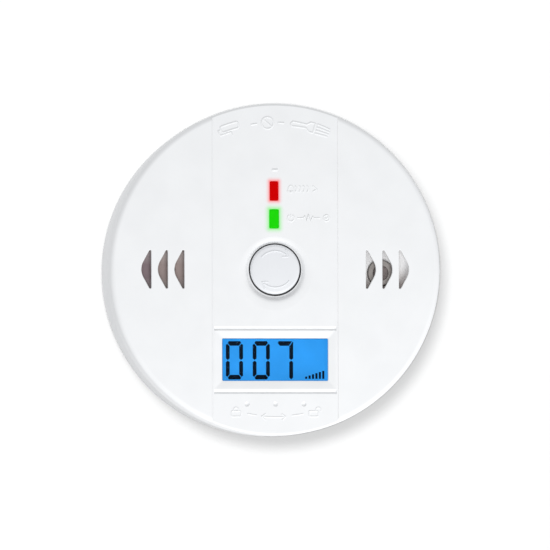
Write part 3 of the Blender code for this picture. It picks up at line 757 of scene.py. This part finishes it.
def make_front_cover():
    inner = CASE_R - WALL
    cup = [(inner, INNER_FACE), (inner, SEAM), (CASE_R - 0.25, SEAM), (CASE_R - 0.07, SEAM + 0.08),
           (CASE_R, SEAM + 0.28)]
    cup += quarter(CASE_R, DEPTH, RIM_R, 14)
    cover = raw("front_cover_shell", [turned(cup)])

    board_top = Box("circuit_board").far + 0.3
    root, inside = INNER_FACE + 0.5, INNER_FACE - 1.0
    bosses = ring_of([(2.7, 20.4), (2.7, root)], 32, SCREW_RING, SCREW_ANGLES)
    bosses += ring_of([(2.5, board_top), (2.5, root)], 32, POST_RING, POST_ANGLES)
    pilots = ring_of([(1.5, 19.0), (1.5, 30.0)], 24, SCREW_RING, SCREW_ANGLES)
    pilots += ring_of([(1.2, board_top - 1.0), (1.2, 31.5)], 24, POST_RING, POST_ANGLES)
    add(cover, bosses)
    pockets = []
    for part in (SHROUD, BUZZER):
        wide, roof = part.width / 2 + 0.6, DEPTH - VENT_SKIN
        pockets.append(turned([(wide, inside), (wide, roof - 0.3),
                               (part.width / 2 + 0.3, roof)], 96, part.mid_x, part.mid_z))
    cut(cover, pockets)

    trough = mirrored(rounded_trough(BAND_W / 2, BAND, DEPTH, 0.22, 0.08))
    trough = [(-30.0, DEPTH + 3.0)] + trough + [(30.0, DEPTH + 3.0)]
    cut(cover, [swept_z(trough, -54.0, 54.0)])

    holes = [hole(vent(edge, side), inside, DEPTH, 0.3) for edge in VENT_X for side in (-1, 1)]
    for node, (width, height) in LIGHT_SIZE.items():
        pipe = Box(node)
        outline = rounded(width + 0.2, height + 0.2, LIGHT_CORNER, pipe.mid_z, pipe.mid_x)
        holes.append(hole(outline, inside, BAND, 0.22))
    cut(cover, holes + [dish_cutter(), bezel_cutter()], [groove_cutter(z) for z in GROOVE_Z],
        [dimple_cutter(x, z) for x, z in DIMPLES] + pilots)
    settle(cover, "white_casing", "detector", ["front_cover"], 32)


def sector(r_in, r_out, first, last):
    angles = [first + (last - first) * k / 16 for k in range(17)]
    return [polar(r_out, a) for a in angles] + [polar(r_in, a) for a in reversed(angles)]


def hook_openings(opening, through):
    """The same arc-shaped hole beside each of the bracket's hooks."""
    r_in, r_out, first, last = opening
    return [prism(sector(r_in, r_out, angle + first, angle + last), *through)
            for angle in POST_ANGLES]


def make_rear_cover():
    """The rear cup: battery bay, screw pillars, the slots for the bracket's hooks."""
    edge = SEAM - 0.3
    back = REAR.near
    floor = back + WALL
    lip_out = CASE_R - WALL - 0.3
    lip_in = lip_out - 1.5
    inner = REAR_R - WALL
    bead = CASE_R - 0.05
    cup = fillet(REAR_R, back, 1.5, 9)
    cup += [(REAR_R, edge - 1.7), (bead - 0.12, edge - 1.35), (bead, edge - 1.2),
            (bead, edge - 0.25), (bead - 0.25, edge)]
    cup += [(lip_out, edge), (lip_out, edge + 2.7), (lip_out - 0.2, edge + 2.9),
            (lip_in, edge + 2.9), (lip_in, edge - 2.0), (inner, edge - 3.4), (inner, floor)]
    cover = raw("rear_cover_shell", [turned(cup)])

    pitch = Box("battery_cell_3").mid_x - Box("battery_cell_2").mid_x
    width, height, bay_floor = 46.2, 58.6, 20.8
    bay = rounded(width, height, 0.4)
    pillars = ring_of([(3.2, back + 1.0), (3.2, 20.1)], 32, SCREW_RING, SCREW_ANGLES)
    add(cover, [prism(rounded(width + 3.0, height + 3.0, 1.2), back + 1.0, bay_floor + 1.4)]
        + pillars)
    bores = ring_of([(3.4, back - 0.5), (2.6, back + 0.35), (2.6, 14.5), (1.6, 14.5),
                     (1.6, 21.1)], 32, SCREW_RING, SCREW_ANGLES)
    bores.append(stepped([(rounded(width + 1.2, height + 1.2, 1.0), back - 0.5),
                          (bay, back + 0.4), (bay, bay_floor)]))
    cut(cover, bores)
    ribs = []
    for x in (-pitch / 2, pitch / 2):
        ribs.append(prism([(x - 0.7, -20.0), (x + 0.7, -20.0), (x + 0.7, 20.0), (x - 0.7, 20.0)],
                          bay_floor - 3.0, bay_floor + 0.5))
    add(cover, ribs)
    slots = []
    for row in (-1, 1):                        # the leads' ways out of the bay
        x, z = row * pitch, -row * (height / 2 - 0.5)
        slots.append(prism(rounded(2.8, 1.4, 0.2, z, x), bay_floor - 0.6, bay_floor + 3.0))
    through = (back - 1.0, floor + 1.0)
    cut(cover, slots + hook_openings(HOOK_SLOT, through), hook_openings(HOOK_MOUTH, through))
    settle(cover, "white_casing", "detector", ["rear_cover"], 32)


def keyhole(x):
    """A round hole for a screw head, and the narrow slot above it."""
    radius, half, rise = 4.6, 2.3, 9.0
    open_angle = math.degrees(math.asin(half / radius))
    start, end = 90 + open_angle, 450 - open_angle
    outline = [polar(radius, start + (end - start) * k / 40) for k in range(41)]
    outline += [(px, rise + pz) for px, pz in (polar(half, 180.0 * k / 16) for k in range(17))]
    return [(x + px, pz - rise / 2) for px, pz in outline]


def through_plate(outline, plate):
    """A hole whose two mouths are chamfered; the wall side is the near one."""
    wide = offset(outline, 0.5)
    return stepped([(wide, -0.2), (outline, 0.3), (outline, plate - 0.35), (wide, plate + 0.15)])


def make_bracket():
    radius = BRACKET.width / 2
    plate, rim = 2.0, 5.0
    cup = [(radius - 0.6, 0.0), (radius - 0.15, 0.15), (radius, 0.6), (radius, rim - 0.5),
           (radius - 0.15, rim - 0.15), (radius - 0.5, rim), (radius - 1.3, rim),
           (radius - 1.6, rim - 0.3), (radius - 1.6, plate + 0.6), (radius - 2.2, plate)]
    bracket = raw("bracket_plate", [turned(cup)])
    hook = [(46.8, plate / 2), (46.8, 8.9), (46.5, 9.2), (43.3, 9.2), (43.0, 8.9), (43.0, 7.9),
            (43.3, 7.6), (45.2, 7.6), (45.2, plate / 2)]
    add(bracket, [swept_arc(hook, angle - 5.0, angle + 5.0, 10) for angle in POST_ANGLES])
    outlines = [keyhole(side * KEYHOLE_X) for side in (-1, 1)]
    outlines += [rounded(14.0, 4.6, 2.2, side * LEVEL_SLOT_Z) for side in (-1, 1)]
    cut(bracket, [through_plate(outline, plate) for outline in outlines])
    rings = []
    for middle in (8.0, 24.0):
        ring = [(middle - 0.5, -0.5), (middle - 0.5, 0.1), (middle - 0.25, 0.35),
                (middle + 0.25, 0.35), (middle + 0.5, 0.1), (middle + 0.5, -0.5)]
        rings.append(turned(ring, 160, closed=True))
    arrow = [(-3.2, 13.0), (0.0, 17.2), (3.2, 13.0), (1.2, 13.0), (1.2, 11.0), (-1.2, 11.0),
             (-1.2, 13.0)]
    rings.append(prism(list(reversed(arrow)), -0.5, 0.3))
    cut(bracket, rings)
    settle(bracket, "white_bracket", "bracket", ["mounting_bracket"], 32)


# ---- button, lights, display ----

def make_button():
    face, crown, edge = BUTTON.far, 0.22, 1.05
    cap = [(2.0, BUTTON.near), (2.0, 36.3), (6.2, 36.3), (6.2, 34.5), (BUTTON_FLANGE_R, 34.5),
           (BUTTON_FLANGE_R, 35.7), (BUTTON_R, 35.7)]
    cap += [(r, d - crown) for r, d in quarter(BUTTON_R, face, edge, 9, 0.0, 78.0)]
    cap += [((BUTTON_R - edge) * (k / 7), face - crown * (k / 7) ** 2) for k in range(6, 0, -1)]
    settle(raw("test_button_cap", [turned(cap, 128)]), "white_button", "button",
           ["test_button"], 32)
    marks, middle = [], 5.7
    for start, end in ((140.0, 52.0), (-40.0, -128.0)):
        marks.append((arc_points(0.0, 0.0, middle, start, end, 24), False))
        for reach in (-1.25, 1.25):
            marks.append(([polar(middle + reach, end + 9.0), polar(middle, end - 8.0)], False))
    strokes("test_button_arrows", marks, 0.3, face - 0.26, "white_button", "button")


def make_lights():
    for name, colour in (("alarm", "red"), ("power", "green")):
        node = f"{name}_light_pipe"
        width, height = LIGHT_SIZE[node]
        x, z = Box(node).mid_x, Box(node).mid_z
        slim, wide = (width - 0.12, height - 0.12), (width + 1.6, height + 1.6)
        stages = [(slim, 30.4), (slim, 34.5), (wide, 34.5), (wide, INNER_FACE - 0.3),
                  (slim, INNER_FACE - 0.3), (slim, BAND - 0.1)]
        for side, rise in ((0.06, 0.0), (0.2, 0.08), (0.5, 0.13), (1.0, 0.16)):
            stages.append(((slim[0] - side, slim[1] - side), BAND - 0.05 + rise))
        shape = stepped([(rounded(w, h, min(LIGHT_CORNER, w * 0.2), z, x, steps=5), d)
                         for (w, h), d in stages])
        settle(raw(f"{name}_light_window", [shape]), f"{colour}_light_pipe", "detector",
               [node], 35)


def segments(x, z, on):
    """The lit segments of a digit as outlines, with (x, z) its centre."""
    level = [(1.42, 4.56), (2.12, 5.42), (1.79, 6.0), (-1.79, 6.0), (-2.12, 5.42), (-1.42, 4.56)]
    upright = [(2.70, 0.60), (2.70, 4.84), (2.22, 5.20), (1.50, 4.36), (1.50, 0.60), (2.10, 0.09)]
    top_mitred = [(1.44, 4.54), (2.44, 6.0), (-1.79, 6.0), (-2.12, 5.42), (-1.42, 4.54)]
    upright_mitred = [(2.76, 0.60), (2.76, 5.74), (2.64, 5.86), (1.54, 4.34), (1.54, 0.60),
                      (2.14, 0.09)]
    foot = [(2.72, -5.42), (2.72, -0.60), (2.12, -0.09), (1.52, -0.60), (1.52, -5.42),
            (2.12, -6.0)]
    ways = {"a": (level, 1, 1), "d": (level, 1, -1), "b": (upright, 1, 1),
            "c": (upright, 1, -1), "e": (upright, -1, -1), "f": (upright, -1, 1),
            "A": (top_mitred, 1, 1), "B": (upright_mitred, 1, 1), "C": (foot, 1, 1)}
    return [[(x + sx * px, z + sz * pz) for px, pz in shape]
            for shape, sx, sz in (ways[name] for name in on)]


def make_display():
    near, far = PANEL.near, PANEL.far
    stages = ((0.3, near), (0.0, near + 0.15), (0.0, near + 1.1), (0.1, near + 1.15),
              (0.1, near + 1.25), (0.0, near + 1.3), (0.0, far - 0.55), (0.9, far - 0.55),
              (0.9, far - 0.15), (1.1, far - 0.1))
    glass = stepped([(rounded(PANEL.width - less, PANEL.height - less, 0.3, WINDOW_Z), d)
                     for less, d in stages])
    settle(raw("display_glass_panel", [glass]), "display_glass", "detector", ["display_panel"])
    outlines = []
    for x, on in DIGITS:
        outlines += segments(x, DIGIT_Z, on)
    for k in range(6):
        x, low, tall = BAR_X + k * BAR_PITCH, DIGIT_Z - 5.8, 0.7 + 0.36 * k
        outlines.append([(x, low), (x + BAR_W, low), (x + BAR_W, low + tall), (x, low + tall)])
    face = far - 0.1
    digits = raw("display_segments", [prism(o, face - 0.02, face + 0.05) for o in outlines])
    digits.data.materials.append(FINISH["display_ink"])
    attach(digits, "detector")
    lens = Box("display_lens")
    stages = ((0.2, lens.near), (0.0, lens.near + 0.1), (0.0, lens.far - 0.1), (0.2, lens.far))
    shape = stepped([(rounded(lens.width - less, lens.height - less, 1.0 - less / 2, lens.mid_z), d)
                     for less, d in stages])
    cover = settle(raw("display_cover_lens", [shape]), "clear_lens", "detector", ["display_lens"])
    cover.visible_shadow = False


# ---- sensor and sounder, seen through the vents ----

def make_sensor():
    x, z, rim, low = CAN.mid_x, CAN.mid_z, CAN.far, CAN.near
    r = CAN.width / 2
    profile = [(r - 0.4, low), (r, low), (r, rim - 0.5)]
    profile += quarter(r, rim, 0.4, 6)[1:]
    profile += [(2.5, rim), (2.42, rim - 0.06), (2.4, rim - 0.4), (r - 0.6, rim - 0.4),
                (r - 0.4, rim - 0.6)]
    settle(raw("sensor_can_cap", [turned(profile, 96, x, z, closed=True)]), "sensor_can_steel",
           "detector", ["sensor_can"], 35)
    gauze = Box("sensor_gauze")
    shape = turned([(3.2, gauze.near), (3.2, gauze.far), (2.34, gauze.far), (2.32, rim - 0.16),
                    (2.2, rim - 0.1), (1.2, rim - 0.05), (0.2, rim - 0.04)], 64, x, z)
    settle(raw("sensor_gauze_disc", [shape]), "steel_gauze", "detector", ["sensor_gauze"])
    r, floor, inner = SHROUD.width / 2, 35.6, CAN.width / 2 + 0.06
    profile = [(r, SHROUD.near), (r, SHROUD.far - 0.15), (r - 0.15, SHROUD.far),
               (r - 0.85, SHROUD.far), (r - 1.0, SHROUD.far - 0.15), (r - 1.1, floor + 0.25),
               (r - 1.4, floor), (inner + 0.25, floor), (inner, floor - 0.2),
               (inner, floor - 1.0), (r - 1.0, floor - 1.0), (r - 1.0, SHROUD.near)]
    settle(raw("sensor_shroud_cup", [turned(profile, 128, x, z, closed=True)]),
           "shroud_plastic", "detector", ["sensor_shroud"], 35)


def make_buzzer():
    x, front, low = BUZZER.mid_x, BUZZER.far, BUZZER.near
    r = BUZZER.width / 2
    wall = 1.2
    profile = [(r - wall, low), (r, low)]
    profile += quarter(r, front, 0.8, 6)
    profile += [(1.5, front), (1.15, front - 0.1), (1.0, front - 0.4), (1.0, front - wall),
                (r - wall, front - wall)]
    settle(raw("buzzer_shell", [turned(profile, 96, x, closed=True)]), "buzzer_plastic",
           "detector", ["buzzer_housing"], 35)


# ---- moulded marks ----

def arc_points(x, z, radius, first, last, steps=14):
    return [(x + px, z + pz) for px, pz in
            (polar(radius, first + (last - first) * k / steps) for k in range(steps + 1))]


def bent(paths, middle):
    """Paths drawn flat, with z = 0 as their base line, bent round the centre of the face."""
    out = []
    for points, closed in paths:
        flat = []
        ends = points[1:] + points[:1] if closed else points[1:]
        for (x0, z0), (x1, z1) in zip(points, ends):
            steps = max(1, int(math.hypot(x1 - x0, z1 - z0) / 0.6))
            flat += [(x0 + (x1 - x0) * (k / steps), z0 + (z1 - z0) * (k / steps))
                     for k in range(steps)]
        if not closed:
            flat.append(points[-1])
        out.append(([polar(middle + z, 90.0 - math.degrees(x / middle)) for x, z in flat],
                    closed))
    return out


def no_paint_marks():
    """A roller, a prohibition sign and a brush, laid along the top of the face."""
    roller = [(rounded(5.6, 2.0, 0.5, 0.85, -14.2, steps=3), True),
              ([(-17.0, 0.85), (-17.9, 0.85), (-17.9, -0.75), (-14.2, -0.75), (-14.2, -1.9)],
               False)]
    sign = [(circle(1.85, 28, -2.3), True), (arc_points(-2.3, 0.0, 1.85, 135.0, -45.0, 1), False)]
    dashes = [([(-7.6, 0.0), (-5.6, 0.0)], False), ([(1.0, 0.0), (3.0, 0.0)], False)]
    brush = [([(5.0, 0.0), (5.6, 0.75), (10.0, 0.55), (11.2, 1.5), (12.6, 1.5), (12.6, -1.5),
               (11.2, -1.5), (10.0, -0.55), (5.6, -0.75)], True),
             ([(13.3, 1.5), (17.4, 1.2)], False), ([(13.3, 0.5), (17.6, 0.4)], False),
             ([(13.3, -0.5), (17.6, -0.4)], False), ([(13.3, -1.5), (17.4, -1.2)], False)]
    return bent(roller + sign + dashes + brush, TOP_MARKS_R)


def bell_marks():
    z = 25.2
    bell = [(-1.15, -0.75), (-0.75, -0.35), (-0.7, 0.35), (-0.4, 0.9), (0.0, 1.05), (0.4, 0.9),
            (0.7, 0.35), (0.75, -0.35), (1.15, -0.75)]
    marks = [([(5.0 + a, z + b) for a, b in bell], True),
             ([(4.75, z - 1.1), (5.25, z - 1.1)], False)]
    for k in range(4):
        marks.append((arc_points(5.6 + 1.2 * k, z, 1.2 + 0.05 * k, -48, 48, 8), False))
    marks.append(([(11.9, z - 0.9), (13.2, z), (11.9, z + 0.9)], False))
    return marks


def running_marks():
    z = 16.05
    power = [(arc_points(5.0, z, 1.05, 125, 415, 16), False),
             ([(5.0, z + 0.2), (5.0, z + 1.2)], False)]
    trace = [(7.0, 0.0), (8.9, 0.0), (9.4, 0.7), (9.9, -0.9), (10.5, 1.2), (11.2, -1.1),
             (11.8, 0.5), (12.3, 0.0), (14.2, 0.0)]
    ring = (circle(0.95, 18, 16.2, z), True)
    return power + [([(x, z + dz) for x, dz in trace], False), ring,
                    ([(15.8, z), (16.1, z - 0.35), (16.7, z + 0.4)], False)]


def padlock(x, z, shift):
    """A padlock, whose shackle is shifted sideways when it is open."""
    body = rounded(2.9, 1.7, 0.3, z - 0.45, x, steps=3)
    middle, foot = x + shift, z + 0.4
    bow = arc_points(middle, z + 0.75, 0.8, 0, 180, 10)
    return [(body, True), ([(middle + 0.8, foot)] + bow + [(middle - 0.8, foot)], False)]


def turn_marks():
    """Locked, a double turn arrow and unlocked, along the bottom of the face."""
    middle = TURN_MARKS_R
    marks = padlock(-12.4, -44.8, 0.0) + padlock(12.0, -44.8, 1.5)
    for first, last in ((-101.0, -97.4), (-83.6, -79.0)):
        marks.append((arc_points(0.0, 0.0, middle - 0.2, first, last, 4), False))
    marks.append((arc_points(0.0, 0.0, middle, -95.0, -86.4, 8), False))
    for end, way in ((-95.4, 1), (-86.0, -1)):
        for reach in (-0.95, 0.95):
            marks.append(([polar(middle + reach, end + way * 1.5), polar(middle, end)], False))
    return marks


def make_marks():
    made = (("mark_do_not_cover", no_paint_marks(), 0.33), ("mark_alarm", bell_marks(), 0.27),
            ("mark_running", running_marks(), 0.27), ("mark_turn_to_lock", turn_marks(), 0.26),
            ("mark_top", [([(-0.85, 31.1), (0.85, 31.1)], False)], 0.45))
    for name, paths, radius in made:
        strokes(name, paths, radius, BAND - radius * 0.35, "white_casing", "detector")


# ---- setting, lights and camera ----

def plane(name, corners, grey):
    """A matt plane, seen only from the side on which its corners run counter-clockwise."""
    mesh = bpy.data.meshes.new(name)
    mesh.from_pydata(corners, [], [(0, 1, 2, 3)])
    obj = in_scene(name, mesh)
    made = Finish(name, (grey, grey, grey), 0.9, Specular_IOR_Level=0.0)
    made.tint((grey * 0.985, grey * 0.985, grey * 0.985), 120.0)
    behind = made.node("ShaderNodeNewGeometry").outputs["Backfacing"]
    clear = made.node("ShaderNodeBsdfTransparent").outputs[0]
    both = made.node("ShaderNodeMixShader", {0: behind, 1: made.shader.outputs[0], 2: clear})
    made.tree.links.new(both.outputs[0], made.tree.nodes["Material Output"].inputs["Surface"])
    mesh.materials.append(made.material)
    for ray in ("diffuse", "glossy", "shadow", "transmission"):
        setattr(obj, f"visible_{ray}", False)
    return obj


def area_light(name, direction, distance, size, power, receivers):
    """A round soft light, aimed at the object's middle, that lights only the receivers."""
    data = bpy.data.lights.new(name, "AREA")
    data.shape = "DISK"
    data.size = size
    data.energy = power
    obj = in_scene(name, data)
    way = Vector(direction).normalized()
    obj.location = Vector((0.0, -0.02, 0.0)) + way * distance
    obj.rotation_mode = "QUATERNION"
    obj.rotation_quaternion = way.to_track_quat("Z", "Y")
    lit_set = bpy.data.collections.new(f"{name}_set")
    for item in receivers:
        lit_set.objects.link(item)
    obj.light_linking.receiver_collection = lit_set


def make_setting():
    back, low = 0.0004, -0.25
    wall = plane("wall", [(-3, back, low), (3, back, low), (3, back, 3), (-3, back, 3)], 0.40)
    floor = plane("floor", [(-12, -12, low), (12, -12, low), (12, 12, low), (-12, 12, low)], 0.9)
    world = bpy.data.worlds.new("studio")
    world.use_nodes = True
    sky = world.node_tree.nodes["Background"]
    sky.inputs["Color"].default_value = (0.985, 0.99, 1.0, 1.0)
    sky.inputs["Strength"].default_value = 0.78
    bpy.context.scene.world = world
    things = [o for o in bpy.context.scene.objects if o.type in ("MESH", "CURVE")
              and o not in (wall, floor)]
    rear = [o for o in things if o.name.startswith(("rear_cover", "bracket"))]
    area_light("key", (0.33, -1.0, -1.28), 0.7, 0.35, 2.42, [o for o in things if o not in rear])
    area_light("rear_key", (-0.2, -1.0, 1.28), 0.7, 0.35, 0.6, rear)
    area_light("wall_light", (-0.13, -1.0, 0.045), 1.2, 0.16, 12.8, [wall])
    area_light("wall_fill", VIEW, 4.0, 0.1, 157.0, [wall])
    area_light("floor_light", (0.0, -1.0, 1.5), 3.0, 2.0, 30.0, [floor])


VIEW_TURN, VIEW_RISE, VIEW_DISTANCE = -6.2, -1.9, 4.0
VIEW_WIDTH = 172.2             # of the picture, in the plane of the face
VIEW_X, VIEW_Z = -0.1, -1.78
VIEW_ROLL = -0.15


def view_direction():
    turn, rise = math.radians(VIEW_TURN), math.radians(VIEW_RISE)
    return Vector((math.sin(turn) * math.cos(rise), -math.cos(turn) * math.cos(rise),
                   math.sin(rise)))


VIEW = view_direction()


def make_camera():
    data = bpy.data.cameras.new("camera")
    data.sensor_width = 36.0
    data.lens = data.sensor_width * VIEW_DISTANCE / (VIEW_WIDTH * MM)
    data.clip_start, data.clip_end = 0.05, 40.0
    camera = in_scene("camera", data)
    camera.location = point(VIEW_X, DEPTH, VIEW_Z) + VIEW * VIEW_DISTANCE
    camera.rotation_mode = "QUATERNION"
    roll = Quaternion(VIEW, math.radians(VIEW_ROLL))
    camera.rotation_quaternion = roll @ VIEW.to_track_quat("Z", "Y")
    bpy.context.scene.camera = camera
    bpy.context.scene.view_settings.view_transform = "Standard"


def dress_frame():
    """Gives every CAD node that is still shown the finish of its own material slot."""
    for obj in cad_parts.values():
        for index, old in enumerate(obj.data.materials):
            obj.data.materials[index] = FINISH[old.name.split(".")[0]]


make_front_cover()
make_rear_cover()
make_bracket()
make_button()
make_lights()
make_display()
make_sensor()
make_buzzer()
make_marks()
dress_frame()
make_setting()
make_camera()
